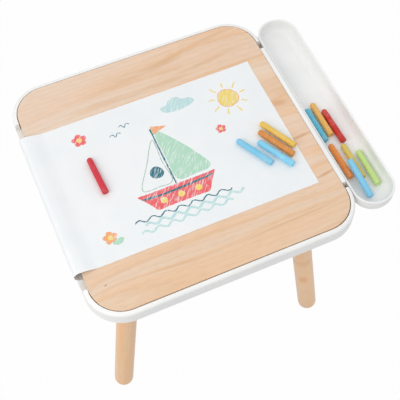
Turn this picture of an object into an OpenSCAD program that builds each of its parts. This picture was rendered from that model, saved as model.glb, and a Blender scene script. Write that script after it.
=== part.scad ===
// Low play table for children: a wooden lid on a moulded storage tub,
// four splayed legs, a hanging side tray and a paper roll inside the tub.
// Millimetres, +Z up, standing on z = 0, centred under its whole outline.

/* [Table] */
// Height of the lid's top above the floor
table_h = 480; // [440:1:560]
// Width of the lid, left to right
lid_w = 496; // [480:1:560]
// Length of the lid, front to back
lid_l = 504; // [496:1:600]
// Thickness of the lid board
lid_t = 18; // [15:0.5:22]
// Corner radius of the lid, seen from above
lid_r = 60; // [56:1:80]
// Rounding of the lid's edges
lid_edge = 1.5; // [0.5:0.1:3]
// Gap between the lid and the rim round it
lid_gap = 1.5; // [1:0.1:2.5]
// How far the lid stands above the rim
lid_proud = 1.5; // [0.5:0.1:3]

/* [Tub] */
// Wall thickness of the moulded parts
wall = 3; // [2.5:0.1:3.5]
// Width of the rim
rim_w = 8.5; // [8:0.1:11]
// Rounding of the rim's outer edge
rim_round = 6; // [2:0.5:6.5]
// Height of the skirt that hangs from the rim
skirt_h = 29.5; // [28:0.5:40]
// Width of the ledge that the lid lies on
ledge_w = 13.5; // [12:0.5:16]
// Depth of the storage bowl below the ledge, outside
bowl_h = 60.5; // [58:0.5:90]
// Rounding inside the bowl's bottom edge
bowl_round = 30; // [20:1:32]
// Thickness of the stiffening ribs
rib_t = 2.4; // [2:0.1:3]
// Spacing of the stiffening ribs
rib_pitch = 62; // [50:1:80]

/* [Rim dips] */
// Length of the dip in the left and right rim
dip_l = 374; // [365:1:376]
// Height of the opening under the lid at a dip
dip_slot = 6.5; // [5.5:0.5:9]
// Rounding of the dip's lower corners
dip_round = 8; // [4:1:12]
// Length of the slots that take the tray's tabs
tab_slot_l = 52; // [50:1:60]
// Distance of the tab slots from the middle of the side
tab_slot_y = 110; // [100:1:130]

/* [Legs] */
// Diameter of a leg
leg_d = 40; // [36:1:42]
// Distance of the leg's axis from the tub's side, at the bowl's bottom
leg_inset_x = 86; // [84:1:92]
// Distance of the leg's axis from the tub's front or back, at the bowl's bottom
leg_inset_y = 95.5; // [94:0.5:102]
// Splay of the legs to the left and right, in degrees
leg_splay_x = 7.3; // [4:0.1:9]
// Splay of the legs to the front and back, in degrees
leg_splay_y = 4; // [2:0.1:6]
// Diameter of the flat under each foot
foot_flat_d = 14; // [10:1:20]
// Diameter of the turned end that goes into the socket
spigot_d = 32; // [28:1:33]
// Length of the leg socket below the bowl
socket_l = 30; // [24:1:40]
// Wall thickness of the leg socket
socket_wall = 5; // [4:0.5:6]
// Clearance round the turned end
spigot_gap = 0.2; // [0.1:0.05:0.4]
// Diameter of the leg bolt
bolt_d = 8; // [6:1:8]
// Length of the leg bolt under its head
bolt_l = 38; // [34:1:44]
// Outer diameter of the threaded insert in the leg
insert_d = 12; // [11:0.5:14]
// Length of the threaded insert
insert_l = 18; // [14:1:22]

/* [Lid underside] */
// Width of a cross batten
batten_w = 40; // [30:1:50]
// Thickness of a cross batten
batten_t = 12; // [9:0.5:14]
// Length of a cross batten
batten_l = 420; // [360:1:440]
// Distance between the two cross battens
batten_span = 236; // [200:1:240]
// Number of screws in each batten
batten_screws = 3; // [2:1:5]
// Distance of the outer screws from the batten's ends
screw_inset = 20; // [15:1:30]
// Diameter of the batten screws
screw_d = 4; // [3.5:0.1:4.5]
// Diameter of a pad under the lid
pad_d = 9; // [8:0.5:10]
// Thickness of a pad under the lid
pad_t = 1.5; // [1:0.1:2.5]
// Distance of the pads from the lid's middle, left to right
pad_x = 176; // [120:1:180]

/* [Paper] */
// Width of the paper
paper_w = 305; // [250:1:305]
// Thickness of the paper sheet, drawn thicker than the real one
paper_t = 0.4; // [0.3:0.1:0.6]
// Place of the paper's middle, front to back
paper_y = -5.5; // [-10:0.5:10]
// Free end of the paper, from the middle of the lid to the right
paper_end = 210; // [150:1:230]
// Radius of the curl where the paper comes over the rim
curl_r = 10; // [9:0.5:11]
// How far the curl rises above the lid
curl_rise = 7; // [6:0.5:8]
// Diameter of the paper roll
roll_d = 44; // [38:1:46]
// Diameter of the dowel that the roll turns on
dowel_d = 22; // [18:1:24]
// How far the dowel stands out of its ribs
dowel_over = 6; // [4:1:8]
// Wall thickness of the cardboard core
core_wall = 2.5; // [2:0.5:3]
// Distance of the roll's axis from the tub's outer left side
roll_inset = 52; // [51:1:54]
// Height of the roll's axis above the bowl's floor
roll_axis_h = 25; // [24:0.5:26]

/* [Side tray] */
// Width of the tray
tray_w = 83; // [75:1:100]
// Length of the tray
tray_l = 469; // [440:1:480]
// Depth of the tray, outside
tray_h = 34; // [32:1:40]
// Wall thickness of the tray
tray_wall = 4; // [3:0.5:4.5]
// How far the tray's rim lies below the lid's top
tray_drop = 6; // [4:0.5:8]
// Rounding inside the tray's bottom edge
tray_round = 15; // [10:1:18]
// Place of the tray's middle, front to back
tray_y = -4; // [-5:0.5:5]
// Gap between the tray and the tub
tray_gap = 1; // [0.5:0.1:2]
// Length of the rail that hangs the tray in the dip
rail_l = 343; // [320:1:350]
// Length of a tab under the rail
tab_l = 40; // [30:1:42]
// Depth that a tab reaches below the dip's floor
tab_h = 12; // [8:1:14]

/* [Drawing sticks] */
// Length of a drawing stick
stick_l = 81; // [70:1:85]
// Diameter of a drawing stick at its flat end
stick_d = 12.4; // [11:0.1:12.6]
// Diameter of a drawing stick near its rounded end
stick_tip_d = 11.4; // [10:0.1:11.8]

/* [Hidden] */
$fn = 96;

eps = 0.01;
fit = 0.1;
seat_gap = 0.3;

// Heights
lid_z = table_h - lid_t;
ledge_z = lid_z - pad_t;
rim_z = table_h - lid_proud;
skirt_z = rim_z - skirt_h;
bowl_z = ledge_z - bowl_h;
floor_z = bowl_z + wall;
dip_z = lid_z - dip_slot;

// Plan sizes of the tub, from the lid outwards and inwards
mouth_w = lid_w + 2 * lid_gap;
mouth_l = lid_l + 2 * lid_gap;
tub_w = mouth_w + 2 * rim_w;
tub_l = mouth_l + 2 * rim_w;
tub_r = lid_r + lid_gap + rim_w;
bowl_w = mouth_w - 2 * ledge_w;
bowl_l = mouth_l - 2 * ledge_w;
bowl_r = tub_r - rim_w - ledge_w;

// Legs
leg_x = tub_w / 2 - leg_inset_x;
leg_y = tub_l / 2 - leg_inset_y;
leg_run = norm([tan(leg_splay_x), tan(leg_splay_y)]);
leg_tilt = atan(leg_run);
foot_z = sqrt(pow(leg_d / 2, 2) - pow(foot_flat_d / 2, 2));
leg_axis_l = (bowl_z - foot_z) / cos(leg_tilt);
socket_d = spigot_d + 2 * spigot_gap + 2 * socket_wall;
spigot_top = -3;
bolt_seat_d = 24;
bolt_seat = (wall + bolt_seat_d / 2 * sin(leg_tilt)) / cos(leg_tilt) + 0.6;
bolt_hole_d = bolt_d + 0.6;
washer_d = 20;
washer_t = 1.6;
bolt_head_d = 14;
bolt_head_h = 4.4;
corners = [[-1, -1], [1, -1], [-1, 1], [1, 1]];

// Tray
tray_left = tub_w / 2 + tray_gap;
tray_x = tray_left + tray_w / 2;
tray_z = table_h - tray_drop - tray_h;
tray_r = tray_w / 2 - 0.5;
rail_in = lid_w / 2 + 0.5;
rail_out = tub_w / 2 - 0.5;
rail_z = dip_z + seat_gap;
rail_top = rim_z + 0.5;
rail_wall = 2.5;
tab_x = mouth_w / 2;
tab_t = 4;
tab_gap = 0.5;

// Roll and sheet; the sheet lies in the middle of its thickness on this path
roll_x = -tub_w / 2 + roll_inset;
roll_z = floor_z + roll_axis_h;
core_r = dowel_d / 2 + fit;
rib_y = paper_w / 2 + 4;
rib_wall = 4;
sheet_top = table_h + paper_t / 2 + fit / 2;
sheet_low = dip_z + seat_gap + paper_t / 2;
curl_x = -mouth_w / 2 - 3;
curl_top = table_h + curl_rise;
curl_z = curl_top - curl_r;
sheet_left = curl_x - curl_r - paper_t / 2;

// The frame's origin lies under the middle of everything between these two sides
shift_x = -(tray_left + tray_w + sheet_left) / 2;

// A stick lies on its side: its axis is tilted by the taper
stick_taper = atan((stick_d - stick_tip_d) / 2 / stick_l);
lid_stick_z = table_h + paper_t + fit + stick_d / 2;
tray_floor_z = tray_z + wall;
tray_stick_z = tray_floor_z + seat_gap + stick_d / 2;

// The flat floor of the tray
tray_floor_left = tray_left + tray_wall + tray_round;
tray_floor_right = tray_left + tray_w - tray_wall - tray_round;
tray_floor_front = tray_y - tray_l / 2 + tray_wall + tray_round;

// The gold stick in the tray lies between its neighbours, and the sky-blue one leans on its lower end
brown_x = tray_floor_left + 0.24 * stick_d;
green_x = tray_floor_right - 0.1 * stick_d;
gold_at = in_tray(brown_x + 0.53 * (green_x - brown_x), 1.155);
sky_at = in_tray(gold_at[0] - 0.73 * stick_d, 0.628);
sky_turn = 93.5;
sky_lift = sqrt(pow(stick_d + seat_gap, 2) - pow(gold_at[0] - sky_at[0], 2));
sky_lean = atan(sky_lift / (gold_at[1] - sky_at[1]));
sky_stick_z = tray_floor_z + seat_gap + stick_d / 2 * cos(sky_lean) + stick_l / 2 * sin(sky_lean);

// Spot on the paper, in stick lengths from the corner between its free end and its front edge
function on_paper(left, up) = [paper_end - left * stick_l, paper_y - paper_w / 2 + up * stick_l];

// Spot in the tray, in stick lengths from the front end of its flat floor
function in_tray(x, up) = [x, tray_floor_front + up * stick_l];

module in_place() {
    translate([shift_x, 0, 0]) children();
}

// Half of an edge-rounded slab: from the corner's axis out to the wall
module edge_profile(r, h, top_r, low_r) {
    difference() {
        square([r, h]);
        if (top_r > 0) translate([r - top_r, h - top_r]) difference() {
            square(top_r + 1);
            circle(top_r);
        }
        if (low_r > 0) translate([r - low_r, low_r]) mirror([0, 1]) difference() {
            square(low_r + 1);
            circle(low_r);
        }
    }
}

// Runs a section round a plan outline; the section's zero is the corner's axis
module around(w, l, r) {
    for (q = [0:3]) {
        sx = q % 2 == 0 ? w / 2 - r : l / 2 - r;
        sy = q % 2 == 0 ? l / 2 - r : w / 2 - r;
        rotate(90 * q) translate([sx, sy, 0]) {
            rotate_extrude(angle = 90) children();
            rotate([90, 0, 0]) linear_extrude(2 * sy) children();
        }
    }
}

// Slab with rounded corners and rounded edges
module soft_slab(w, l, h, r, top_r, low_r) {
    around(w, l, r) edge_profile(r, h, top_r, low_r);
    translate([r - w / 2, r - l / 2, 0]) cube([w - 2 * r, l - 2 * r, h]);
}

// The tub's wall in section, from the corner's axis to the skirt
module tub_section() {
    neck_r = tub_r - rim_w;
    difference() {
        union() {
            // skirt and rim
            translate([0, skirt_z]) edge_profile(tub_r, rim_z - skirt_z, rim_round, 0.8);
            // bowl
            translate([0, bowl_z]) edge_profile(bowl_r + wall, ledge_z - bowl_z, 0, bowl_round + wall);
        }
        // hollow behind the skirt
        difference() {
            translate([0, skirt_z - 1])
                edge_profile(tub_r - wall, rim_z - wall - skirt_z + 1, max(rim_round - wall, 1), 0);
            translate([0, ledge_z - wall]) square([neck_r + wall, rim_z - ledge_z]);
            square([bowl_r + wall, ledge_z]);
        }
        // mouth and bowl
        translate([0, ledge_z]) square([neck_r, 2 * lid_t]);
        translate([0, floor_z]) edge_profile(bowl_r, bowl_h + lid_t, 0, bowl_round);
    }
}

// Outline of the dip in the rim, seen from the side
module dip_outline(l, r) {
    translate([-l / 2, r]) square([l, 2 * lid_t]);
    translate([-l / 2 + r, 0]) square([l - 2 * r, r + eps]);
    for (side = [-1, 1]) translate([side * (l / 2 - r), r]) circle(r);
}

// Draws on the outer side of the left and right walls
module on_sides() {
    for (turn = [0, 180]) rotate(turn) children();
}

// Solid under and beside a dip, which closes the hollow behind the skirt
module dip_block() {
    block_h = rim_z - rim_round - dip_z + wall;
    on_sides() difference() {
        intersection() {
            translate([bowl_w / 2, 0, dip_z - wall]) rotate([90, 0, 90])
                linear_extrude((tub_w - bowl_w) / 2) dip_outline(dip_l + 2 * wall, dip_round + wall);
            translate([0, -dip_l, dip_z - wall]) {
                cube([tub_w, 2 * dip_l, block_h]);
                cube([tub_w / 2 - wall, 2 * dip_l, rim_z - dip_z + wall / 2]);
            }
        }
        translate([0, -dip_l, ledge_z]) cube([mouth_w / 2, 2 * dip_l, block_h]);
    }
}

module dip_cut() {
    on_sides() {
        translate([bowl_w / 2 - 1, 0, dip_z]) rotate([90, 0, 90])
            linear_extrude(tub_w) dip_outline(dip_l, dip_round);
        for (side = [-1, 1])
            translate([tab_x - tab_gap / 2, side * tab_slot_y - tab_slot_l / 2, dip_z - 2 * wall])
                cube([tab_t + tab_gap + fit, tab_slot_l, 4 * wall]);
    }
}

// Local frame of a leg's socket: zero where the leg's axis meets the bowl's bottom, +Z up the leg
module at_socket(c) {
    toward = atan2(-c[1] * tan(leg_splay_y), -c[0] * tan(leg_splay_x));
    translate([c[0] * leg_x, c[1] * leg_y, bowl_z]) rotate([0, leg_tilt, toward]) children();
}

module at_foot(c) {
    at_socket(c) translate([0, 0, -leg_axis_l]) children();
}

module socket_solid() {
    translate([0, 0, -socket_l]) cylinder(d = socket_d, h = socket_l + wall);
    for (turn = [45:90:315]) rotate([90, 0, turn]) translate([0, 0, -rib_t / 2])
        linear_extrude(rib_t)
            polygon([[0, wall], [socket_d / 2 + 11, wall], [socket_d / 2 + 11, -1],
                [socket_d / 2 - 0.5, -socket_l + 8], [0, -socket_l + 8]]);
}

module socket_bore() {
    translate([0, 0, -socket_l - 1])
        cylinder(d = spigot_d + 2 * spigot_gap, h = socket_l + 1 + spigot_top);
    translate([0, 0, spigot_top - 1]) cylinder(d = bolt_hole_d, h = bolt_seat + 8);
}

// Ribs between the skirt and the bowl, along one side
module skirt_ribs(side_l, half_w) {
    count = floor(side_l / 2 / rib_pitch);
    bowl_face = half_w - rim_w - ledge_w + wall;
    for (i = [-count:count]) translate([0, i * rib_pitch - rib_t / 2, 0]) {
        translate([bowl_face - 0.5, 0, skirt_z + 3])
            cube([rim_w + ledge_w - 2 * wall + 1, rib_t, ledge_z - wall / 2 - skirt_z - 3]);
        translate([half_w - rim_w + wall - 0.5, 0, skirt_z + 3])
            cube([rim_w - 2 * wall + 1, rib_t, rim_z - wall - skirt_z - 2.5]);
    }
}

// Notched rib that carries one end of the dowel
module roll_rib(y) {
    rib_x = -bowl_w / 2 - wall / 2;
    rib_right = roll_x + dowel_d / 2 + 6;
    rib_top = roll_z + dowel_d / 2 + 2;
    difference() {
        intersection() {
            translate([rib_x, y - rib_wall / 2, bowl_z + wall / 2])
                cube([rib_right - rib_x, rib_wall, rib_top - bowl_z - wall / 2]);
            translate([0, 0, bowl_z])
                soft_slab(bowl_w + wall, bowl_l + wall, bowl_h, bowl_r + wall / 2, 0, bowl_round + wall);
        }
        translate([roll_x, y, roll_z]) rotate([90, 0, 0])
            cylinder(r = dowel_d / 2 + 0.3, h = 3 * rib_wall, center = true);
        translate([roll_x - dowel_d / 2 - 0.3, y - rib_wall, roll_z])
            cube([dowel_d + 0.6, 2 * rib_wall, dowel_d]);
    }
}

module tub() {
    color("whitesmoke") in_place() {
        difference() {
            union() {
                around(tub_w, tub_l, tub_r) tub_section();
                translate([tub_r - tub_w / 2, tub_r - tub_l / 2, bowl_z])
                    cube([tub_w - 2 * tub_r, tub_l - 2 * tub_r, wall]);
                dip_block();
                for (turn = [0, 180]) rotate(turn) skirt_ribs(tub_l - 2 * tub_r, tub_w / 2);
                for (turn = [90, 270]) rotate(turn) skirt_ribs(tub_w - 2 * tub_r, tub_l / 2);
                difference() {
                    for (c = corners) at_socket(c) socket_solid();
                    translate([-tub_w / 2, -tub_l / 2, bowl_z + wall / 2]) cube([tub_w, tub_l, tub_w]);
                }
                for (c = corners) at_socket(c) cylinder(d = bolt_seat_d, h = bolt_seat);
                for (side = [-1, 1]) roll_rib(paper_y + side * rib_y);
            }
            dip_cut();
            for (c = corners) at_socket(c) socket_bore();
        }
    }
}

module leg(c) {
    shoulder = leg_axis_l - socket_l;
    color("burlywood") in_place() difference() {
        union() {
            at_foot(c) {
                sphere(d = leg_d);
                cylinder(d = leg_d, h = shoulder - 1.5);
                translate([0, 0, shoulder - 1.5 - eps])
                    cylinder(d1 = leg_d, d2 = leg_d - 3, h = 1.5 + eps);
                cylinder(d = spigot_d, h = leg_axis_l + spigot_top - 0.5);
            }
        }
        at_socket(c) {
            translate([0, 0, spigot_top - insert_l - 1]) cylinder(d = insert_d + fit, h = insert_l + 2);
            translate([0, 0, spigot_top - bolt_l]) cylinder(d = bolt_hole_d, h = bolt_l);
        }
        translate([c[0] * leg_x - tub_w / 2, c[1] * leg_y - tub_l / 2, -leg_d])
            cube([tub_w, tub_l, leg_d]);
    }
}

module leg_front_left() {
    leg([-1, -1]);
}

module leg_front_right() {
    leg([1, -1]);
}

module leg_back_left() {
    leg([-1, 1]);
}

module leg_back_right() {
    leg([1, 1]);
}

module leg_inserts() {
    color("goldenrod") in_place() for (c = corners)
        at_socket(c) translate([0, 0, spigot_top - 0.5 - insert_l]) difference() {
            union() {
                cylinder(d = insert_d - 1, h = insert_l);
                for (z = [1:3:insert_l - 3]) translate([0, 0, z]) cylinder(d = insert_d, h = 2);
            }
            translate([0, 0, -1]) cylinder(d = bolt_d + 2 * fit, h = insert_l + 2);
        }
}

module leg_bolts() {
    color("silver") in_place() for (c = corners)
        at_socket(c) translate([0, 0, bolt_seat + washer_t]) {
            difference() {
                rotate_extrude() edge_profile(bolt_head_d / 2, bolt_head_h, 3, 0);
                translate([0, 0, bolt_head_h - 2.6]) cylinder(d = 5.8, h = 3, $fn = 6);
            }
            translate([0, 0, -bolt_l]) cylinder(d = bolt_d, h = bolt_l + eps);
        }
}

module leg_washers() {
    color("silver") in_place() for (c = corners)
        at_socket(c) translate([0, 0, bolt_seat]) difference() {
            cylinder(d = washer_d, h = washer_t);
            translate([0, 0, -1]) cylinder(d = bolt_d + 0.4, h = washer_t + 2);
        }
}

// Places of the screws under one batten
module at_batten_screws() {
    step = (batten_l - 2 * screw_inset) / (batten_screws - 1);
    for (i = [0:batten_screws - 1])
        translate([0, screw_inset - batten_l / 2 + i * step, lid_z - batten_t])
        children();
}

// Countersunk screw, head down at zero, with a cross recess
module batten_screw(l) {
    difference() {
        union() {
            cylinder(d1 = 2 * screw_d, d2 = screw_d, h = screw_d / 2);
            cylinder(d = screw_d, h = l);
        }
        for (turn = [0, 90]) rotate(turn)
            translate([-screw_d * 0.55, -screw_d * 0.11, -1])
                cube([screw_d * 1.1, screw_d * 0.22, 1 + screw_d * 0.35]);
    }
}

// Its hole in the batten, with the countersink run out below the face
module batten_hole() {
    cylinder(d = screw_d + fit, h = batten_t + 1);
    translate([0, 0, -1]) cylinder(d1 = 2 * screw_d + fit + 2, d2 = screw_d + fit, h = screw_d / 2 + 1);
}

module lid_board() {
    color("wheat") in_place() difference() {
        translate([0, 0, lid_z]) soft_slab(lid_w, lid_l, lid_t, lid_r, lid_edge, lid_edge);
        for (side = [-1, 1]) translate([side * batten_span / 2, 0, 0])
            at_batten_screws() cylinder(d = screw_d + fit, h = batten_t + lid_t * 0.65);
    }
}

module lid_batten(side) {
    color("wheat") in_place() translate([side * batten_span / 2, 0, 0]) difference() {
        translate([0, 0, lid_z]) mirror([0, 0, 1])
            soft_slab(batten_w, batten_l, batten_t, batten_w / 4, 2, 0);
        at_batten_screws() batten_hole();
    }
}

module lid_batten_left() {
    lid_batten(-1);
}

module lid_batten_right() {
    lid_batten(1);
}

module batten_screws() {
    color("silver") in_place() for (side = [-1, 1]) translate([side * batten_span / 2, 0, 0])
        at_batten_screws() batten_screw(batten_t + lid_t * 0.6);
}

module lid_pads() {
    pad_y = lid_l / 2 - lid_edge - pad_d / 2;
    color("gainsboro") in_place() for (c = corners)
        translate([c[0] * pad_x, c[1] * pad_y, ledge_z]) cylinder(d = pad_d, h = pad_t);
}

module roll_axis() {
    translate([roll_x, paper_y, roll_z]) rotate([90, 0, 0]) children();
}

module roll_dowel() {
    dowel_l = 2 * rib_y + rib_wall + 2 * dowel_over;
    color("burlywood") in_place() roll_axis() cylinder(d = dowel_d, h = dowel_l, center = true);
}

module roll_core() {
    color("tan") in_place() roll_axis() difference() {
        cylinder(r = core_r + core_wall, h = paper_w, center = true);
        cylinder(r = core_r, h = paper_w + 2, center = true);
    }
}

module paper_roll() {
    color("white") in_place() roll_axis() difference() {
        cylinder(d = roll_d, h = paper_w, center = true);
        cylinder(r = core_r + core_wall, h = paper_w + 2, center = true);
    }
}

// Point on a curve between a and d, with control points b and c
function bend(a, b, c, d, t) =
    pow(1 - t, 3) * a + 3 * pow(1 - t, 2) * t * b + 3 * (1 - t) * t * t * c + pow(t, 3) * d;

// Path of the sheet in section: off the roll, out through the dip, round the curl, onto the lid
function sheet_path() =
    let (off = [roll_x, roll_z + roll_d / 2 + seat_gap + paper_t / 2])
    let (sill = [-bowl_w / 2 + 1, sheet_low])
    let (side = [curl_x - curl_r, curl_z])
    let (lift = [curl_x, curl_top])
    let (land = [curl_x + 4.15 * curl_r, sheet_top])
    let (flat = (land[0] - lift[0]) * 0.45)
    let (reach = 1.2 * curl_r)
    concat(
        [for (i = [0:7]) bend(off, off - [reach, 0], sill + [reach, 0], sill, i / 8)],
        [for (i = [0:11]) bend(sill, sill - [1.2 * reach, 0], side - [0, 1.2 * reach], side, i / 12)],
        [for (a = [90:9:180]) [curl_x - curl_r * sin(a), curl_z - curl_r * cos(a)]],
        [for (i = [1:9]) bend(lift, lift + [flat, 0], land - [flat, 0], land, i / 10)],
        [land, [paper_end, sheet_top]]
    );

// Unit direction across the path at point i
function across(p, i) =
    let (a = p[max(i - 1, 0)])
    let (b = p[min(i + 1, len(p) - 1)])
    let (d = (b - a) / norm(b - a))
    [-d[1], d[0]];

module paper_sheet() {
    p = sheet_path();
    n = len(p) - 1;
    outline = concat(
        [for (i = [0:n]) p[i] + across(p, i) * paper_t / 2],
        [for (i = [n:-1:0]) p[i] - across(p, i) * paper_t / 2]
    );
    color("white") in_place() translate([0, paper_y + paper_w / 2, 0]) rotate([90, 0, 0])
        linear_extrude(paper_w) polygon(outline);
}

// The tray's wall in section, from the corner's axis to the rim
module tray_section() {
    difference() {
        edge_profile(tray_r, tray_h, tray_wall / 2, tray_round + wall);
        translate([0, wall]) edge_profile(tray_r - tray_wall, tray_h, 0, tray_round);
        translate([tray_r - tray_wall, tray_h - tray_wall / 2]) difference() {
            square(tray_wall / 2);
            translate([tray_wall / 2, 0]) circle(tray_wall / 2);
        }
    }
}

module side_tray() {
    color("whitesmoke") in_place() translate([0, tray_y, 0]) {
        translate([tray_x, 0, tray_z]) {
            around(tray_w, tray_l, tray_r) tray_section();
            translate([tray_r - tray_w / 2, tray_r - tray_l / 2, 0])
                cube([tray_w - 2 * tray_r, tray_l - 2 * tray_r, wall]);
        }
        // rail in the dip, joined to the tray's wall
        difference() {
            translate([rail_in, 0, rail_z]) rotate([90, 0, 0]) translate([0, 0, -rail_l / 2])
                linear_extrude(rail_l) rail_section();
            translate([rail_in + rail_wall, wall - rail_l / 2, rail_z - 1])
                cube([rail_out - rail_in - 2 * rail_wall, rail_l - 2 * wall, rail_top - rail_z - wall + 1]);
        }
        for (side = [-1, 1])
            translate([tab_x + tab_gap / 2, side * tab_slot_y - tab_l / 2, dip_z - tab_h])
                cube([tab_t - tab_gap, tab_l, tab_h + seat_gap + 4]);
    }
}

module rail_section() {
    w = rail_out - rail_in;
    h = rail_top - rail_z;
    difference() {
        union() {
            square([w, h]);
            square([tray_left + tray_wall / 2 - rail_in, table_h - tray_drop - tray_wall / 2 - rail_z]);
        }
        translate([w - 2, h - 2]) difference() {
            square(3);
            circle(2);
        }
    }
}

// Drawing stick along +X: flat end at the left, rounded end at the right, centred on its length
module stick() {
    nose = stick_tip_d / 2 - 1;
    translate([-stick_l / 2, 0, 0]) rotate([0, 90 + stick_taper, 0]) rotate_extrude() {
        polygon([[0, 0], [stick_d / 2 - 0.6, 0], [stick_d / 2, 0.6], [stick_tip_d / 2, stick_l - nose],
            [0, stick_l - nose]]);
        intersection() {
            translate([1, stick_l - nose]) circle(nose);
            translate([0, stick_l - nose - 1]) square([stick_d, nose + 1]);
        }
        translate([0, stick_l - nose]) square([1, nose]);
    }
}

// A stick with its middle over a spot, its rounded end turned by angle and raised by lean
module lay_stick(spot, z, angle, lean = 0) {
    in_place() translate([spot[0], spot[1], z]) rotate([0, -lean, angle]) stick();
}

module lid_stick_red() {
    spot = [-lid_w / 2 + 1.15 * stick_l, paper_y + 0.25 * stick_l];
    color("crimson") lay_stick(spot, lid_stick_z, 92);
}

module lid_stick_yellow() {
    color("gold") lay_stick(on_paper(0.3, 1.505), lid_stick_z, 117);
}

module lid_stick_orange() {
    color("darkorange") lay_stick(on_paper(0.436, 1.302), lid_stick_z, 117);
}

module lid_stick_blue() {
    color("skyblue") lay_stick(on_paper(0.567, 1.06), lid_stick_z, 118);
}

module lid_stick_sky() {
    color("lightskyblue") lay_stick(on_paper(0.99, 1.288), lid_stick_z, 118);
}

module tray_stick_teal() {
    color("teal") lay_stick(in_tray(tray_floor_left - 0.08 * stick_d, 2.4), tray_stick_z, 90);
}

module tray_stick_yellow() {
    color("gold") lay_stick(in_tray(tray_floor_left + 1.2 * stick_d, 2.5), tray_stick_z, 90);
}

module tray_stick_red() {
    color("crimson") lay_stick(in_tray(tray_floor_left + 2.35 * stick_d, 2.22), tray_stick_z, 91);
}

module tray_stick_brown() {
    color("chocolate") lay_stick(in_tray(brown_x, 1.265), tray_stick_z, 91);
}

module tray_stick_gold() {
    color("goldenrod") lay_stick(gold_at, tray_stick_z, 90);
}

module tray_stick_sky() {
    color("deepskyblue") lay_stick(sky_at, sky_stick_z, sky_turn, sky_lean);
}

module tray_stick_green() {
    color("yellowgreen") lay_stick(in_tray(green_x, 0.858), tray_stick_z, 89);
}

lid_board();
lid_batten_left();
lid_batten_right();
batten_screws();
lid_pads();
tub();
leg_front_left();
leg_front_right();
leg_back_left();
leg_back_right();
leg_inserts();
leg_bolts();
leg_washers();
roll_dowel();
roll_core();
paper_roll();
paper_sheet();
side_tray();
lid_stick_red();
lid_stick_yellow();
lid_stick_orange();
lid_stick_blue();
lid_stick_sky();
tray_stick_teal();
tray_stick_yellow();
tray_stick_red();
tray_stick_brown();
tray_stick_gold();
tray_stick_sky();
tray_stick_green();
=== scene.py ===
import math
import random

import bpy
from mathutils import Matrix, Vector
from mathutils.geometry import delaunay_2d_cdt


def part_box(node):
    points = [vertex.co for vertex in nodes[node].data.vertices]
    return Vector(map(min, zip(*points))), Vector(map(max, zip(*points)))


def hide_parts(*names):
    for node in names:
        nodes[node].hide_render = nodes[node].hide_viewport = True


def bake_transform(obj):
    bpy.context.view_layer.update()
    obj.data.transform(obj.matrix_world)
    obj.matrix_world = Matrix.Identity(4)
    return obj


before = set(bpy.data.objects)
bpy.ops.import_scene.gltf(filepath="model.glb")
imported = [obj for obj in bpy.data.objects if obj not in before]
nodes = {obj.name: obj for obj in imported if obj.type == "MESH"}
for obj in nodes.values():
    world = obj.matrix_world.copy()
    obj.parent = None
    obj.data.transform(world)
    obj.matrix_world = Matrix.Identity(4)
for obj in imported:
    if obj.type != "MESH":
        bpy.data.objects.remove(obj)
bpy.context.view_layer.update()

lidLow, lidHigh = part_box("lid_board")
middle = (lidLow + lidHigh) / 2  # the lid's middle; its top is lidHigh.z
waveRepeat = 0.314  # metres from crest to crest in a wave texture of scale 1


def linear(hexValue):
    parts = [int(hexValue[i:i + 2], 16) / 255 for i in (1, 3, 5)]
    return tuple(c / 12.92 if c <= 0.04045 else ((c + 0.055) / 1.055) ** 2.4 for c in parts) + (1,)


def emptyTree(owner):  # of a material or the world
    owner.use_nodes = True
    owner.node_tree.nodes.clear()
    return owner.node_tree


def addNode(tree, kind, settings=None, links=None):
    node = tree.nodes.new("ShaderNode" + kind)
    for key, value in (settings or {}).items():
        if key == "stops":  # a colour ramp's places and colours
            stops = node.color_ramp.elements
            while len(stops) < len(value):
                stops.new(0.5)
            for stop, (place, colour) in zip(stops, value):
                stop.position, stop.color = place, linear(colour)
        elif key == "span":  # the two ends that a range comes from, and the two that it goes to
            for end, number in zip(("From Min", "From Max", "To Min", "To Max"), value):
                node.inputs[end].default_value = number
        elif isinstance(key, int) or key in node.inputs:
            node.inputs[key].default_value = value
        else:
            setattr(node, key, value)
    for key, source in (links or {}).items():
        source, output = source if isinstance(source, tuple) else (source, 0)
        tree.links.new(source.outputs[output], node.inputs[key])
    return node


def startMaterial(name):
    material = bpy.data.materials.new(name)
    tree = emptyTree(material)
    return material, tree, (addNode(tree, "TexCoord"), "Object")  # patterns lie in the table's own space


def joinSurface(tree, look, base, height, gloss=None):  # gloss where the roughness varies
    relief = {"Strength": look["bump"], "Distance": look["bumpHeight"] / 1000}
    links = {"Base Color": base, "Normal": addNode(tree, "Bump", relief, {"Height": height})}
    if gloss:
        links["Roughness"] = gloss
    shader = addNode(tree, "BsdfPrincipled", look["surface"], links)
    addNode(tree, "OutputMaterial", None, {"Surface": shader})


def finishNodes(material, *names):
    for name in names:
        for place in nodes[name].material_slots:
            place.material = material


# camera and stage: a low white studio with a large window lamp on the left and a weak bounce on the right
shot = {
    "azimuth": -23.79, "elevation": 59.83, "distance": 1.5914,
    "fromMiddle": (-0.003, -0.1047),  # the camera aims at the lid's top, this far from its middle
    "lens": 79.62, "sensor": 36}
studio = {
    "ambient": 0.79, "ambientColour": "#fdfeff", "backdrop": "#fefefe",
    "floorColour": "#d2d2d2", "floorSize": 14,
    "floorWhite": 0.975,  # how much of the floor shows as plain white; the rest takes the object's shadow
    "lampAim": (0, 0, 0.4),
    "lamps": [  # name, place and width in metres, power in watts, colour
        ("window", (-1.5, -0.6, 2.1), 1.8, 18, "#fffaf4"), ("bounce", (1.2, 0.4, 2.2), 1.8, 3, "#f6faff")]}


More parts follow.
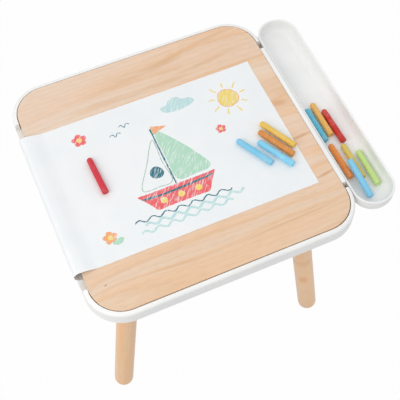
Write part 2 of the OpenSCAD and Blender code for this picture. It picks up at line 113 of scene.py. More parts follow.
def placeCamera():
    turn, rise = math.radians(shot["azimuth"]), math.radians(shot["elevation"])
    back = Vector((math.sin(turn) * math.cos(rise), -math.cos(turn) * math.cos(rise), math.sin(rise)))
    camera = bpy.data.objects.new("camera", bpy.data.cameras.new("camera"))
    bpy.context.scene.collection.objects.link(camera)
    camera.data.lens, camera.data.sensor_width = shot["lens"], shot["sensor"]
    x, y = shot["fromMiddle"]
    camera.location = Vector((middle.x + x, middle.y + y, lidHigh.z)) + back * shot["distance"]
    camera.rotation_mode = "QUATERNION"
    camera.rotation_quaternion = (-back).to_track_quat("-Z", "Y")
    bpy.context.scene.camera = camera
    bpy.context.scene.view_settings.view_transform = "Standard"


def backgroundRays(tree):  # 1 for a ray from the camera, off a glossy surface or through a clear one
    rays = addNode(tree, "LightPath")
    seen = rays, "Is Camera Ray"
    for kind in ("Is Glossy Ray", "Is Transmission Ray"):
        seen = addNode(tree, "Math", {"operation": "MAXIMUM"}, {0: seen, 1: (rays, kind)})
    return seen


def buildStage():
    world = bpy.data.worlds.new("studio air")
    bpy.context.scene.world = world
    tree = emptyTree(world)
    ambient = {"Color": linear(studio["ambientColour"]), "Strength": studio["ambient"]}
    air = addNode(tree, "Background", ambient)
    white = addNode(tree, "Background", {"Color": linear(studio["backdrop"]), "Strength": 1})
    both = addNode(tree, "MixShader", None, {0: backgroundRays(tree), 1: air, 2: white})
    addNode(tree, "OutputWorld", None, {"Surface": both})

    half = studio["floorSize"] / 2
    corners = [(x * half, y * half, 0) for x, y in ((-1, -1), (1, -1), (1, 1), (-1, 1))]
    mesh = bpy.data.meshes.new("floor")
    mesh.from_pydata(corners, [], [(0, 1, 2, 3)])
    floor = bpy.data.objects.new("floor", mesh)
    bpy.context.scene.collection.objects.link(floor)
    material = bpy.data.materials.new("painted studio floor")  # rolled matt paint: no gloss, a faint shadow
    tree = emptyTree(material)
    share = {"operation": "MULTIPLY", 1: studio["floorWhite"]}
    share = addNode(tree, "Math", share, {0: backgroundRays(tree)})
    matt = addNode(tree, "BsdfDiffuse", {"Color": linear(studio["floorColour"])})
    white = addNode(tree, "Emission", {"Color": (1, 1, 1, 1), "Strength": 1})
    both = addNode(tree, "MixShader", None, {0: share, 1: matt, 2: white})
    addNode(tree, "OutputMaterial", None, {"Surface": both})
    mesh.materials.append(material)

    for name, place, width, power, colour in studio["lamps"]:
        lamp = bpy.data.objects.new(name, bpy.data.lights.new(name, "AREA"))
        bpy.context.scene.collection.objects.link(lamp)
        lamp.data.shape, lamp.data.size, lamp.data.energy = "DISK", width, power
        lamp.data.color = linear(colour)[:3]
        lamp.location = place
        lamp.rotation_mode = "QUATERNION"
        lamp.rotation_quaternion = (Vector(studio["lampAim"]) - Vector(place)).to_track_quat("-Z", "Y")


placeCamera()
buildStage()
print("stage and camera ready")


# wood: the lid, its battens, the legs and the dowel. Lengths and widths are in mm. A wash is a slow change of
# colour: colour, direction, start and end in metres, share. A mark is a knot, a warm streak, a pale patch or
# a
# painted highlight: x, y, turn in degrees, half length, half width, depth, colour.
lacquer = {"IOR": 1.5, "Coat Weight": 0.12, "Coat Roughness": 0.25}  # one thin satin film on both woods
pine = {  # knotty pine, planed, sanded, lacquered: pale wavy streaks and late-wood lines under the film
    "streaks": [(0.30, "#e5d1bf"), (0.42, "#e8ccb4"), (0.470, "#e9c4a4"), (0.486, "#e0bc9b"),
                (0.505, "#e7ccb5"), (0.560, "#e5cfbb"), (0.585, "#eac5a5"), (0.600, "#e2bd9c"),
                (0.620, "#e8cbb1"), (0.69, "#ebc3a1"), (0.72, "#e3be9c"), (0.76, "#e7cab0")],
    "streakLength": 1300, "streakWidth": 95, "streakFrom": (0, 0, 1.05), "driftLength": 210, "drift": 26,
    "washes": [("#e9b680", (1, -0.6, 0), -0.30, 0.05, 0.22), ("#e6cfbb", (-1, 0.6, 0), 0.05, 0.32, 0.5),
               ("#d6c4aa", (0, -1, 0), 0.1, 0.2, 0.2)],
    "line": "#b98a60", "ring": 11, "ringDepth": 0.10, "pithBelow": 60, "pithSide": 25,
    "fibreLength": 22, "fibreWidth": 2.4, "fibreDepth": 0.24,  # coarser than real fibres, so that they show
    "surface": {**lacquer, "Roughness": 0.42}}
beech = {  # turned and lacquered beech: even warm tan with short fine flecks along the leg
    "streaks": [(0.30, "#e9c6a0"), (0.46, "#eec69b"), (0.60, "#f0be8d"), (0.74, "#ebc296")],
    "streakLength": 260, "streakWidth": 9, "streakFrom": (0, 0, 0), "driftLength": 120, "drift": 4,
    "washes": [("#edb981", (1, 0, 0), 0, 0.4, 0.1)],
    "line": "#cc9461", "ring": 4, "ringDepth": 0.08, "pithBelow": 60, "pithSide": 10,
    "fibreLength": 9, "fibreWidth": 1.3, "fibreDepth": 0.30,  # coarser than real flecks too
    "surface": {**lacquer, "Roughness": 0.40}}
grain = {  # what both woods share; a span is where a pattern starts to show and where it shows in full
    "driftFrom": (0.31, 0.17, 0.05), "lateSpan": (0.45, 1), "fibreSpan": (0.46, 0.80),
    "markSpan": (0.1, 1.4),  # in half lengths: a mark is full inside the first and gone at the second
    "bump": 0.12, "bumpHeight": 0.3}
marks = {
    "lid_board": [  # from the lid's middle
        (-218, -197, 20, 3.4, 1.7, 0.70, "#8f6f56"), (224, -54, 6, 28, 3.4, 0.55, "#c4854f"),
        (231, -149, 8, 22, 3, 0.60, "#c4854f"), (222, 30, -4, 20, 8, 0.50, "#c98c58"),
        (232, 128, -6, 22, 5, 0.30, "#c98c58"), (50, 211, 8, 60, 9, 0.42, "#cb9658"),
        (-60, 193, 2, 60, 5, 0.22, "#cb9658"), (165, 232, 8, 70, 7, 0.30, "#cb9658"),
        (130, -205, 2, 110, 2.6, 0.40, "#cb9658"), (-80, -209, -1, 60, 2.2, 0.30, "#c99459"),
        (-70, 158, -1, 80, 8, 0.28, "#d0985c"), (40, 163, 1, 60, 8, 0.32, "#d0985c"),
        (140, 179, 5, 80, 6, 0.30, "#cb9658"), (224, 112, 0, 40, 34, 0.55, "#e8d6c2"),
        (224, -8, 0, 30, 14, 0.25, "#e8d6c2"), (215, -105, 0, 30, 16, 0.30, "#e8d6c2")],
    "leg_front_right": [  # x from the foot's end; the first, a long pale band down one side, is a painted highlight
        (180, 20, 0, 140, 15, 0.45, "#fbd2a6"), (161, 22, 2, 18, 4, 0.56, "#e8984c"),
        (234, 16, -3, 14, 10, 0.28, "#e0924c"), (100, 24, 3, 14, 5, 0.24, "#d8924f")]}
legHalf = {"foot": 20, "top": 16}  # mm from the leg's axis to its side, at the foot and at the turned end


def lacqueredWood(name, look, origin, turn=(0, 0, 0), ownMarks=()):
    look = {**grain, **look}
    material, tree, space = startMaterial(name)
    placed = {"vector_type": "TEXTURE"}  # a mapping then gives the texture's own place, turn and size
    board = {**placed, "Location": origin, "Rotation": turn}  # its X runs along the grain
    board = addNode(tree, "Mapping", board, {"Vector": space})

    long = look["driftLength"] / 1000  # the grain's slow wander
    drift = {**placed, "Location": look["driftFrom"], "Scale": (long, long / 3, long / 3)}
    drift = addNode(tree, "Mapping", drift, {"Vector": board})
    drift = addNode(tree, "TexNoise", {"Scale": 1, "Detail": 1}, {"Vector": drift})
    drift = addNode(tree, "VectorMath", {"operation": "SUBTRACT", 1: (0.5, 0.5, 0.5)}, {0: (drift, "Color")})
    sideways = (0, look["drift"] / 1000, look["drift"] / 1000)
    drift = addNode(tree, "VectorMath", {"operation": "MULTIPLY", 1: sideways}, {0: drift})
    flow = addNode(tree, "VectorMath", {"operation": "ADD"}, {0: board, 1: drift})

    long, wide = look["streakLength"] / 1000, look["streakWidth"] / 1000
    streak = {**placed, "Location": look["streakFrom"], "Scale": (long, wide, wide)}
    streak = addNode(tree, "Mapping", streak, {"Vector": flow})
    streak = addNode(tree, "TexNoise", {"Scale": 1, "Detail": 1.5, "Roughness": 0.45}, {"Vector": streak})
    base = addNode(tree, "ValToRGB", {"stops": look["streaks"]}, {"Fac": streak}), 0

    layers = []  # colours to lay over the streaks, each with how much of it there is
    for colour, way, start, end, share in look["washes"]:
        along = addNode(tree, "VectorMath", {"operation": "DOT_PRODUCT", 1: way}, {0: board})
        wash = addNode(tree, "MapRange", {"span": (start, end, 0, share)}, {"Value": (along, "Value")})
        layers.append((colour, wash))

    pith = (0, look["pithSide"] / 1000, -look["pithBelow"] / 1000)  # the trunk's heart, inside the rings
    late = addNode(tree, "Mapping", {**placed, "Location": pith}, {"Vector": flow})
    rings = {"wave_type": "RINGS", "rings_direction": "X", "wave_profile": "SAW", "Distortion": 0,
             "Scale": waveRepeat / (look["ring"] / 1000)}
    late = addNode(tree, "TexWave", rings, {"Vector": late})
    late = addNode(tree, "MapRange", {"span": (*look["lateSpan"], 0, look["ringDepth"])},
                   {"Value": (late, "Fac")})
    layers.append((look["line"], late))

    long, wide = look["fibreLength"] / 1000, look["fibreWidth"] / 1000
    fibre = addNode(tree, "Mapping", {**placed, "Scale": (long, wide, wide)}, {"Vector": flow})
    fibre = addNode(tree, "TexNoise", {"Scale": 1, "Detail": 3, "Roughness": 0.6}, {"Vector": fibre})
    dark = addNode(tree, "MapRange", {"span": (*look["fibreSpan"], 0, look["fibreDepth"])}, {"Value": fibre})
    layers.append((look["line"], dark))

    for x, y, angle, length, width, depth, colour in ownMarks:
        spot = {**placed, "Location": (x / 1000, y / 1000, 0), "Rotation": (0, 0, math.radians(angle)),
                "Scale": (length / 1000, width / 1000, 1)}
        spot = addNode(tree, "Mapping", spot, {"Vector": flow})
        spot = addNode(tree, "VectorMath", {"operation": "LENGTH"}, {0: spot})
        fade = {"interpolation_type": "SMOOTHSTEP", "span": (*look["markSpan"], depth, 0)}
        layers.append((colour, addNode(tree, "MapRange", fade, {"Value": (spot, "Value")})))

    for colour, share in layers:
        base = addNode(tree, "Mix", {"data_type": "RGBA", 7: linear(colour)}, {0: share, 6: base}), 2
    joinSurface(tree, look, base, fibre)
    return material


def buildWood():
    alongY = (0, 0, math.radians(90))  # the grain of the battens and the dowel runs from front to back
    lidTop = (middle.x, middle.y, lidHigh.z)
    board = lacqueredWood("lacquered pine board", pine, lidTop, ownMarks=marks["lid_board"])
    finishNodes(board, "lid_board")
    for side in ("left", "right"):
        low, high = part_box("lid_batten_" + side)
        start = ((low.x + high.x) / 2, low.y, low.z)
        finishNodes(lacqueredWood("pine batten " + side, pine, start, alongY), "lid_batten_" + side)
    for row, y in (("front", -1), ("back", 1)):
        for side, x in (("left", -1), ("right", 1)):
            name = "leg_" + row + "_" + side
            low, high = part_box(name)
            outerX, innerX = (high.x, low.x) if x > 0 else (low.x, high.x)
            outerY, innerY = (high.y, low.y) if y > 0 else (low.y, high.y)
            outward = Vector((x, y, 0)) / 1000
            foot = Vector((outerX, outerY, 0)) - outward * legHalf["foot"]
            top = Vector((innerX, innerY, high.z)) + outward * legHalf["top"]
            upward = (top - foot).to_track_quat("X", "Z").to_euler()
            title = "turned beech " + row + " " + side
            finishNodes(lacqueredWood(title, beech, foot, upward, marks.get(name, ())), name)
    low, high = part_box("roll_dowel")
    start = ((low.x + high.x) / 2, low.y, (low.z + high.z) / 2)
    finishNodes(lacqueredWood("beech dowel", beech, start, alongY), "roll_dowel")


buildWood()
print("wood ready")


plastic = {  # injection-moulded polypropylene from a finely eroded mould: satin white, a soft broad sheen
    "clouds": [(0.35, "#ecedec"), (0.6, "#f2f2f1")], "cloud": 90,  # sizes in mm
    "texture": 1.3,  # the real texture is finer, and is drawn this coarse so that it shows
    "glossSpan": (0.3, 0.7, 0.32, 0.41),  # the clouds' own ends, and the roughness that they give
    "surface": {"IOR": 1.49, "Specular IOR Level": 0.4}, "bump": 0.08, "bumpHeight": 0.1}


def mouldedPlastic(name, look):
    material, tree, space = startMaterial(name)
    cloud = addNode(tree, "TexNoise", {"Scale": 1000 / look["cloud"], "Detail": 2}, {"Vector": space})
    base = addNode(tree, "ValToRGB", {"stops": look["clouds"]}, {"Fac": cloud})
    gloss = addNode(tree, "MapRange", {"span": look["glossSpan"]}, {"Value": cloud})
    texture = addNode(tree, "TexNoise", {"Scale": 1000 / look["texture"], "Detail": 2}, {"Vector": space})
    joinSurface(tree, look, base, texture, gloss)
    return material


finishNodes(mouldedPlastic("moulded white polypropylene", plastic), "tub", "side_tray")
print("moulded plastic ready")


wax = {  # poured wax crayons: waxy, a little cloudy, with scuffs and a paler bloom; sizes in mm
    "cloud": 16, "grit": 1.8, "bloomColour": "#f6efe4",
    "bloomSpan": (0.52, 0.75, 0, 0.12),  # where on the clouds it starts and is full, and its share
    "surface": {"Roughness": 0.48, "IOR": 1.45, "Subsurface Weight": 0.12, "Subsurface Scale": 0.002},
    "bump": 0.25, "bumpHeight": 0.3}
sticks = {
    "lid_stick_red": "#cc2e3d", "lid_stick_yellow": "#e4bf57", "lid_stick_orange": "#d58b3e",
    "lid_stick_blue": "#82ceec", "lid_stick_sky": "#77c3e3",
    "tray_stick_teal": "#60bdd8", "tray_stick_yellow": "#e9b35f", "tray_stick_red": "#c52c23",
    "tray_stick_brown": "#ec9043", "tray_stick_gold": "#d8bf63", "tray_stick_sky": "#82c9ec",
    "tray_stick_green": "#c4df8b"}


def waxStick(name, colour, look):
    material, tree, space = startMaterial(name)
    cloud = addNode(tree, "TexNoise", {"Scale": 1000 / look["cloud"], "Detail": 3}, {"Vector": space})
    bloom = addNode(tree, "MapRange", {"span": look["bloomSpan"]}, {"Value": cloud})
    colours = {"data_type": "RGBA", 6: linear(colour), 7: linear(look["bloomColour"])}
    base = addNode(tree, "Mix", colours, {0: bloom}), 2
    grit = addNode(tree, "TexNoise", {"Scale": 1000 / look["grit"], "Detail": 2}, {"Vector": space})
    joinSurface(tree, look, base, grit)
    return material


for stickName, stickColour in sticks.items():
    place, colourName = stickName.split("_stick_")
    finishNodes(waxStick("wax " + place + " " + colourName, stickColour, wax), stickName)
print("drawing sticks ready")


metals = {  # sizes in mm
    "zinc-plated steel": {  # barrel-plated: bluish grey, slightly cloudy, with fine scratches from handling
        "film": [(0.3, "#b4b8be"), (0.7, "#cdd0d2")], "scratch": 0.8, "roughness": (0.22, 0.42),
        "nodes": ("batten_screws", "leg_bolts", "leg_washers")},
    "machined brass": {  # turned from bar: warm yellow, brighter than the steel, with soft tool marks
        "film": [(0.3, "#bf9a48"), (0.7, "#d3b264")], "scratch": 0.6, "roughness": (0.18, 0.38),
        "nodes": ("leg_inserts",)}}
bare = {"filmSize": 5, "surface": {"Metallic": 1}, "bump": 0.1, "bumpHeight": 0.1}  # what both metals share


def bareMetal(name, look):
    look = {**bare, **look}
    material, tree, space = startMaterial(name)
    film = addNode(tree, "TexNoise", {"Scale": 1000 / look["filmSize"], "Detail": 3}, {"Vector": space})
    base = addNode(tree, "ValToRGB", {"stops": look["film"]}, {"Fac": film})
    wear = addNode(tree, "TexNoise", {"Scale": 1000 / look["scratch"], "Detail": 2}, {"Vector": space})
    gloss = addNode(tree, "MapRange", {"span": (0, 1, *look["roughness"])}, {"Value": wear})
    joinSurface(tree, look, base, wear, gloss)
    return material


for metalName, metalLook in metals.items():
    finishNodes(bareMetal(metalName, metalLook), *metalLook["nodes"])

felt = {  # pressed wool felt: matt, mottled by fibres that lie in all directions; coarser than real, in mm
    "fibres": [(0.3, "#c2c2bc"), (0.7, "#e2e2de")], "fibre": (1.6, 0.5, 0.8),
    "surface": {"Roughness": 0.95, "Sheen Weight": 0.3, "Specular IOR Level": 0.1},
    "bump": 0.6, "bumpHeight": 0.3}


def pressedFelt(name, look):
    material, tree, space = startMaterial(name)
    size = [length / 1000 for length in look["fibre"]]
    fibre = addNode(tree, "Mapping", {"vector_type": "TEXTURE", "Scale": size}, {"Vector": space})
    fibre = addNode(tree, "TexNoise", {"Scale": 1, "Detail": 4, "Distortion": 1.5}, {"Vector": fibre})
    base = addNode(tree, "ValToRGB", {"stops": look["fibres"]}, {"Fac": fibre})
    joinSurface(tree, look, base, fibre)
    return material


finishNodes(pressedFelt("pressed felt", felt), "lid_pads")

rolls = {  # wound layers that show as rings on the ends only; the layers are drawn thicker than real, in mm
    "wound drawing paper": {  # soft matt drawing paper, cool white
        "layers": [(0.35, "#dfe1e2"), (0.85, "#f1f3f4")], "layer": 0.9, "node": "paper_roll",
        "surface": {"Roughness": 0.8, "Specular IOR Level": 0.25}},
    "spiral cardboard tube": {  # spiral-wound grey board, brown and matt
        "layers": [(0.35, "#a8855a"), (0.85, "#bf9d70")], "layer": 0.8, "node": "roll_core",
        "surface": {"Roughness": 0.85, "Specular IOR Level": 0.25}}}
windings = {  # what both share
    "wander": 1.2, "waves": 45, "ringShare": 0.4,  # how far the rings stray, how often a metre, their share
    "specks": 400,  # across each piece's own box
    "bump": 0.3, "bumpHeight": 0.2}
rollLow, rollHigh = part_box("paper_roll")
rollAxis = ((rollLow.x + rollHigh.x) / 2, 0, (rollLow.z + rollHigh.z) / 2)
rollRadius = (rollHigh.z - rollLow.z) / 2


def woundRoll(name, look):
    look = {**windings, **look}
    material, tree, space = startMaterial(name)
    across = {"vector_type": "TEXTURE", "Location": rollAxis, "Scale": (1, 1e6, 1)}
    across = addNode(tree, "Mapping", across, {"Vector": space})  # the same all along the roll
    waves = addNode(tree, "TexNoise", {"Scale": look["waves"], "Detail": 2}, {"Vector": across})
    wander = addNode(tree, "VectorMath", {"operation": "SCALE", "Scale": look["wander"] / 1000},
                     {0: (waves, "Color")})
    across = addNode(tree, "VectorMath", {"operation": "ADD"}, {0: across, 1: wander})
    rings = {"wave_type": "RINGS", "rings_direction": "Y", "Distortion": 0,
             "Scale": waveRepeat / (look["layer"] / 1000)}
    rings = addNode(tree, "TexWave", rings, {"Vector": across})
    specks = addNode(tree, "TexNoise", {"Scale": look["specks"], "Detail": 4})
    mixed = addNode(tree, "Math", {"operation": "MULTIPLY_ADD", 1: look["ringShare"]},
                    {0: (rings, "Fac"), 2: specks})
    base = addNode(tree, "ValToRGB", {"stops": look["layers"]}, {"Fac": mixed})
    joinSurface(tree, look, base, mixed)
    return material


for rollName, rollLook in rolls.items():
    finishNodes(woundRoll(rollName, rollLook), rollLook["node"])
print("small parts ready")


# the paper sheet, one closed thin mesh with the drawing cut into its upper face. Sizes are in mm.
sheet = {
    "thick": 0.25, "cadThick": 0.4,  # the CAD sheet is thicker
    "offRoll": 0.5, "tuck": 0.3,  # how far it lies off the roll, and how much closer at its hidden end
    "wrapFrom": -70, "wrapTurn": 160, "wrapSteps": 24,  # degrees: where it starts and how far round it goes
    "dipBelow": 24, "dipSteps": 12,  # how deep under the lid's top it leaves the dip
    "curl": 10, "curlSteps": 16,  # the curl's radius
    "sillIn": 1.75, "ease": 1.2, "land": 4.15,  # in curl radii: the sill, the bends' reach, the first touch
    "flatten": 0.45,  # how far the last bend keeps level at each end, as a share of its length
    "hover": 0.05,  # how far its middle lies above the CAD sheet's, clear of the lid
    "step": 10, "sameWithin": 1e-5, "sharpFrom": 35,  # the mesh's spacing, joining distance and edge angle
    "stretch": 22.5,  # the height under the lid's top over which the sheet would give way as the lid is lifted
    "cornerLift": 1.3, "cornerReach": 34}  # how high the free corner stands, and how far in that starts
paper = {  # calendered drawing paper, uncoated: matt, cool white, a fine tooth that wax covers but for specks
    "clouds": [(0.35, "#f0f4f6"), (0.6, "#f3f6f8")], "cloud": 70,
    "surface": {"Roughness": 0.82, "Specular IOR Level": 0.25, "Subsurface Weight": 0.15,
                "Subsurface Radius": (1, 1, 1), "Subsurface Scale": 0.0015},  # some light comes through
    "bump": 0.12, "bumpHeight": 0.2,
    "tooth": 1.1,  # coarser than real, so that it shows
    "strokeLength": 16, "strokeWidth": 2.4, "strokeTurn": 52,  # the crayon's filling strokes
    "toothShare": 0.35, "coverSpan": (0.50, 0.66, 0.35, 1)}  # where the wax covers thinly and where in full
crayons = {
    "teal": "#2b7482", "coral": "#ef6a6e", "mint": "#b2dcc3", "yellow": "#f3d877", "orange": "#f4aa79",
    "aqua": "#bddfe0", "line": "#a9bfae"}
picture = {  # a child's wax drawing in mm from the lid's middle, in the order in which it is drawn
    "pen": {"sail": 1.7, "mast": 3.2, "hull": 4, "sun": 1.8, "ray": 3, "bird": 1.9},  # widths of lines
    "rightSail": [(-22, 66), (-24, 10), (-22, -46), (12, -50), (46, -44), (30, -4), (4, 40)],
    "leftSail": [(-33, 50), (-62, 4), (-90, -45), (-60, -50), (-32, -46), (-34, 0)],
    "sailSpot": (-52, -20, 13),
    "mast": [(-28, -56), (-28, 78)],
    "pennant": [(-26, 80), (4, 70), (-26, 60)],
    "hull": [(-104, -56), (48, -56), (22, -94), (-78, -94)],
    "hullLine": [(-98, -64), (-60, -67), (-10, -66), (41, -63)],
    "portholes": [(-62, -79, 6.5), (-28, -79, 6.5), (6, -79, 6.5)],
    "waves": [("teal", -128, 66, -104, 2.6), ("aqua", -112, 84, -115, 5), ("aqua", -124, 58, -127, 4)],
    "sun": (138, 82, 20), "rays": 9, "rayReach": (26, 30, 34, 38), "rayTurn": 8,
    "cloud": [(14, 98), (36, 94), (60, 96), (76, 103), (70, 114), (56, 116), (46, 125), (30, 122), (22, 114),
              (8, 110)],
    "birds": [(-92, 84), (-70, 98)], "wings": [(-11, 4), (-5, 7), (0, 0), (5, 7), (11, 4)],
    "flowers": [(-158, 104, 8.5, "coral", "yellow"), (-178, -112, 8, "orange", "yellow"),
                (96, 22, 6, "coral", "yellow")],
    "petals": 5, "petal": 0.72, "petalSquash": 0.9, "heart": 0.62,  # as shares of the flower's radius
    "leaf": [(-178, -124), (-170, -130), (-160, -128), (-156, -120), (-166, -118)]}
hand = random.Random(7)  # the drawing hand's small tremble, the same each time


def paperSurface(name, look, crayon=None):
    material, tree, space = startMaterial(name)
    cloud = addNode(tree, "TexNoise", {"Scale": 1000 / look["cloud"], "Detail": 2}, {"Vector": space})
    base = addNode(tree, "ValToRGB", {"stops": look["clouds"]}, {"Fac": cloud}), 0
    tooth = addNode(tree, "TexNoise", {"Scale": 1000 / look["tooth"], "Detail": 2}, {"Vector": space})
    if crayon:
        long, wide = look["strokeLength"] / 1000, look["strokeWidth"] / 1000
        hatch = {"vector_type": "TEXTURE", "Scale": (long, wide, wide),
                 "Rotation": (0, 0, math.radians(look["strokeTurn"]))}
        hatch = addNode(tree, "Mapping", hatch, {"Vector": space})
        hatch = addNode(tree, "TexNoise", {"Scale": 1, "Detail": 2, "Distortion": 0.4}, {"Vector": hatch})
        cover = addNode(tree, "Math", {"operation": "MULTIPLY_ADD", 1: look["toothShare"]},
                        {0: tooth, 2: hatch})
        cover = addNode(tree, "MapRange", {"span": look["coverSpan"]}, {"Value": cover})
        base = addNode(tree, "Mix", {"data_type": "RGBA", 7: linear(crayon)}, {0: cover, 6: base}), 2
    joinSurface(tree, look, base, tooth)
    return material


def smooth(points, closed=True, steps=7):  # a smooth curve through the points
    out, n = [], len(points)
    for i in range(n if closed else n - 1):
        near = [(i + k) % n if closed else min(max(i + k, 0), n - 1) for k in (-1, 0, 1, 2)]
        a, b, c, d = [Vector(points[k]) for k in near]
        for s in range(steps):
            t = s / steps
            out.append(0.5 * (2 * b + (c - a) * t + (2 * a - 5 * b + 4 * c - d) * t * t
                              + (3 * b - a - 3 * c + d) * t ** 3))
    return out if closed else out + [Vector(points[-1])]


def edgeline(points, step=3):  # a closed outline with straight sides, in short pieces
    out = []
    for a, b in zip(points, points[1:] + points[:1]):
        a, b = Vector(a), Vector(b)
        count = max(1, round((b - a).length / step))
        out += [a.lerp(b, k / count) for k in range(count)]
    return out


def shaken(points, amount=0.5):  # each point strays by up to this many mm
    return [p + Vector((hand.uniform(-amount, amount), hand.uniform(-amount, amount))) for p in points]


def disc(x, y, r, squash=1, count=40):  # a round drawn by hand, a little three-cornered
    phase, points = hand.uniform(0, 6), []
    for a in [2 * math.pi * k / count for k in range(count)]:
        way = Vector((math.cos(a), squash * math.sin(a)))
        points.append(Vector((x, y)) + way * r * (1 + 0.04 * math.sin(3 * a + phase)))
    return points


def stroke(points, width=2.4, closed=False):  # a crayon line of uneven width, as quads
    points = points + points[:1] if closed else points
    sides = []
    for i, p in enumerate(points):
        a, b = points[max(i - 1, 0)], points[min(i + 1, len(points) - 1)]
        if closed and i in (0, len(points) - 1):
            a, b = points[-2], points[1]
        across = (b - a).orthogonal().normalized() * width / 2 * hand.uniform(0.8, 1.15)
        sides.append((p + across, p - across))
    return [[l0, r0, r1, l1] for (l0, r0), (l1, r1) in zip(sides, sides[1:])]


def waveLine(x0, x1, y, height=3.6, length=27, step=3):
    places = [step * k for k in range(int((x1 - x0) / step))]
    return [Vector((x0 + along, y + height * math.sin(2 * math.pi * along / length))) for along in places]


def flower(x, y, r, petalColour, heartColour):
    layers, count, petalR = [], picture["petals"], r * picture["petal"]
    for a in [math.radians(90 + 360 / count * k) for k in range(count)]:
        petal = disc(x + math.cos(a) * r, y + math.sin(a) * r, petalR, picture["petalSquash"], 22)
        layers.append((petalColour, [shaken(petal, 0.3)]))
    return layers + [(heartColour, [shaken(disc(x, y, r * picture["heart"], 1, 20), 0.3)])]


def drawing():  # layers of colour and polygons, each drawn over the one before
    pen = picture["pen"]
    layers = [("mint", [shaken(smooth(picture["rightSail"]))])]
    layers.append(("line", stroke(shaken(smooth(picture["leftSail"]), 0.3), pen["sail"], True)))
    layers.append(("teal", [shaken(disc(*picture["sailSpot"]))]))
    mast = edgeline(picture["mast"])  # up and down again, so its first half is drawn
    layers.append(("teal", stroke(shaken(mast[:len(mast) // 2], 0.3), pen["mast"])))
    layers.append(("orange", [shaken(edgeline(picture["pennant"]), 0.4)]))
    layers.append(("coral", [shaken(smooth(edgeline(picture["hull"], 16)))]))
    layers.append(("teal", stroke(shaken(smooth(picture["hullLine"], False), 0.3), pen["hull"])))
    for x, y, r in picture["portholes"]:
        layers.append(("yellow", [shaken(disc(x, y, r, 1, 20), 0.3)]))
    for colour, x0, x1, y, width in picture["waves"]:
        layers.append((colour, stroke(shaken(waveLine(x0, x1, y)), width)))
    x, y, r = picture["sun"]
    layers.append(("yellow", [shaken(disc(x, y, r))]))
    layers.append(("orange", stroke(shaken(disc(x, y, r + 0.5), 0.3), pen["sun"], True)))
    for k in range(picture["rays"]):
        a = math.radians(360 / picture["rays"] * k + picture["rayTurn"])
        *reach, last = picture["rayReach"]
        reach.append(last + 3 * (k % 2))  # every second ray is a little longer
        ray = [Vector((x + math.cos(a) * far, y + math.sin(a) * far)) for far in reach]
        layers.append(("yellow", stroke(shaken(ray, 0.4), pen["ray"])))
    layers.append(("aqua", [shaken(smooth(picture["cloud"]))]))
    for x, y in picture["birds"]:
        bird = smooth([(x + dx, y + dy) for dx, dy in picture["wings"]], False, 4)
        layers.append(("teal", stroke(shaken(bird, 0.2), pen["bird"])))
    for bloom in picture["flowers"]:
        layers += flower(*bloom)
    return layers + [("mint", [shaken(smooth(picture["leaf"]), 0.3)])]


def outlines(first):  # the drawing for the cutter: points, polygons numbered from first, and their colours
    points, polygons, colours = [], [], []
    names = ["paper"] + list(crayons)
    for colour, shapes in drawing():
        for shape in shapes:
            turned = sum(p.x * q.y - q.x * p.y for p, q in zip(shape, shape[1:] + shape[:1])) < 0
            shape = shape[::-1] if turned else shape  # the cutter takes them anticlockwise
            polygons.append([first + len(points) + k for k in range(len(shape))])
            points += [p + Vector((middle.x, middle.y)) * 1000 for p in shape]
            colours.append(names.index(colour))
    return points, polygons, colours


def bend(a, b, c, d, count):  # a curve from a to d that leaves towards b and arrives from c, without its end
    return [a * (1 - t) ** 3 + b * 3 * t * (1 - t) ** 2 + c * 3 * t * t * (1 - t) + d * t ** 3
            for t in [k / count for k in range(count)]]


def sheetPath():  # its mid-line in x and z: off the roll, out of the dip, round the curl, onto the lid
    low, high = [corner * 1000 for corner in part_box("paper_sheet")]
    r, cadHalf, top = sheet["curl"], sheet["cadThick"] / 2, lidHigh.z * 1000
    curl = Vector((low.x + r + cadHalf, high.z - r - cadHalf))
    axis, wrap = Vector((rollAxis[0], rollAxis[2])) * 1000, rollRadius * 1000 + sheet["offRoll"]
    path, turns, steps = [], sheet["wrapSteps"], sheet["curlSteps"]
    for k in range(turns):  # the hidden end is tucked a little closer to the roll
        a = math.radians(sheet["wrapFrom"] + sheet["wrapTurn"] * k / turns)
        path.append(axis + Vector((math.cos(a), math.sin(a))) * (wrap - sheet["tuck"] * (1 - k / turns)))
    reach = sheet["ease"] * r
    off, sill = axis + Vector((0, wrap)), Vector((curl.x + sheet["sillIn"] * r, top - sheet["dipBelow"]))
    path += bend(off, off - Vector((reach, 0)), sill + Vector((reach, 0)), sill, sheet["dipSteps"])
    side, reach = curl - Vector((r, 0)), sheet["ease"] * reach
    path += bend(sill, sill - Vector((reach, 0)), side - Vector((0, reach)), side, steps)
    for a in [math.radians(90 + 90 * k / (steps - 1)) for k in range(steps)]:  # the curl's last quarter turn
        path.append(curl - Vector((math.sin(a), math.cos(a))) * r)
    lift, land = curl + Vector((0, r)), Vector((curl.x + sheet["land"] * r, top + cadHalf + sheet["hover"]))
    level = Vector(((land.x - lift.x) * sheet["flatten"], 0))
    return path + bend(lift, lift + level, land - level, land, steps)[1:] + [land], high.x


def cornerLift(away):  # the free corner stands up a little; away is the way from it
    near = max(0, 1 - away.length / sheet["cornerReach"])
    return sheet["cornerLift"] * near * near * (3 - 2 * near)


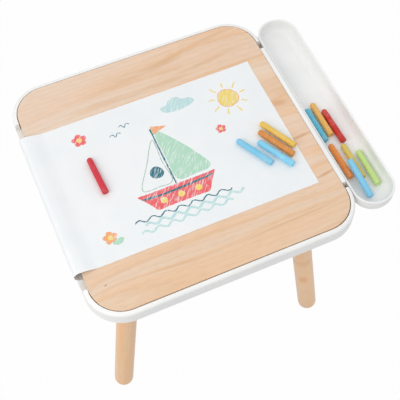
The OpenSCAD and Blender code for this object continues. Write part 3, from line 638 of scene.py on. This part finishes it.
def sheetMesh():
    low, high = [corner * 1000 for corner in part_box("paper_sheet")]
    path, end = sheetPath()
    land, half = path[-1], sheet["thick"] / 2
    rows = round((high.y - low.y) / sheet["step"])
    ys = [low.y + (high.y - low.y) * k / rows for k in range(rows + 1)]
    columns = round((end - land.x) / sheet["step"])
    xs = [land.x + (end - land.x) * k / columns for k in range(columns + 1)]
    grid = [Vector((x, y)) for x in xs for y in ys]
    drawn, polygons, colours = outlines(len(grid))

    verts, faces, paint = [], [], []  # paint is the material of each face
    for side in (1, -1):  # the upper face, then the under face
        first = len(verts)
        for i, p in enumerate(path[:-1]):
            d = (path[i + 1] - path[max(i - 1, 0)]).normalized()
            q = p + Vector((-d.y, d.x)) * half * side
            verts += [(q.x, y, q.y) for y in ys]
        given = (grid + drawn, [], polygons) if side > 0 else (grid, [], [])  # the under face is bare
        cut = delaunay_2d_cdt(*given, 0, sheet["sameWithin"])
        corners, triangles, cornersFrom, trianglesFrom = cut[0], cut[2], cut[3], cut[5]
        flat = len(verts)
        for p in corners:
            lifted = cornerLift(Vector((p.x - end, p.y - high.y)))
            verts.append((p.x, p.y, land.y + half * side + lifted))
        home = {source: flat + k for k, sources in enumerate(cornersFrom) for source in sources}
        gridAt = [[home[c * len(ys) + r] for r in range(len(ys))] for c in range(len(xs))]
        lines = [[first + i * len(ys) + r for r in range(len(ys))] for i in range(len(path) - 1)]
        lines.append(gridAt[0])
        for one, two in zip(lines, lines[1:]):
            for r in range(len(ys) - 1):
                faces.append((one[r], one[r + 1], two[r + 1], two[r])[::-side])
                paint.append(0)
        for triangle, sources in zip(triangles, trianglesFrom):  # the last colour drawn over it shows
            faces.append([flat + v for v in triangle][::side])
            paint.append(colours[max(sources)] if sources else 0)
        rim = [line[0] for line in lines] + [column[0] for column in gridAt[1:]]  # front edge
        rim += gridAt[-1][1:] + [column[-1] for column in gridAt[-2::-1]]  # free end, back edge
        rim += [line[-1] for line in lines[-2::-1]] + lines[0][-2:0:-1]  # down to the hidden end
        if side > 0:
            upper = rim
    for k in range(len(rim)):  # the cut edge all round
        faces.append((upper[k - 1], rim[k - 1], rim[k], upper[k]))
        paint.append(0)
    mesh = bpy.data.meshes.new("drawn_paper")
    mesh.from_pydata([Vector(v) / 1000 for v in verts], [], faces)
    mesh.polygons.foreach_set("material_index", paint)
    print("paper sheet:", len(faces), "faces,", len(drawn), "points drawn")
    return mesh


def buildSheet():
    mesh = sheetMesh()
    mesh.materials.append(paperSurface("uncoated drawing paper", paper))
    for colour, value in crayons.items():
        mesh.materials.append(paperSurface("wax drawing " + colour, paper, value))
    mesh.polygons.foreach_set("use_smooth", [True] * len(mesh.polygons))
    mesh.set_sharp_from_angle(angle=math.radians(sheet["sharpFrom"]))
    mesh.validate()
    drawn = bpy.data.objects.new("drawn_paper", mesh)
    bpy.context.scene.collection.objects.link(drawn)
    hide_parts("paper_sheet")
    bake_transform(drawn)


buildSheet()
print("paper ready")
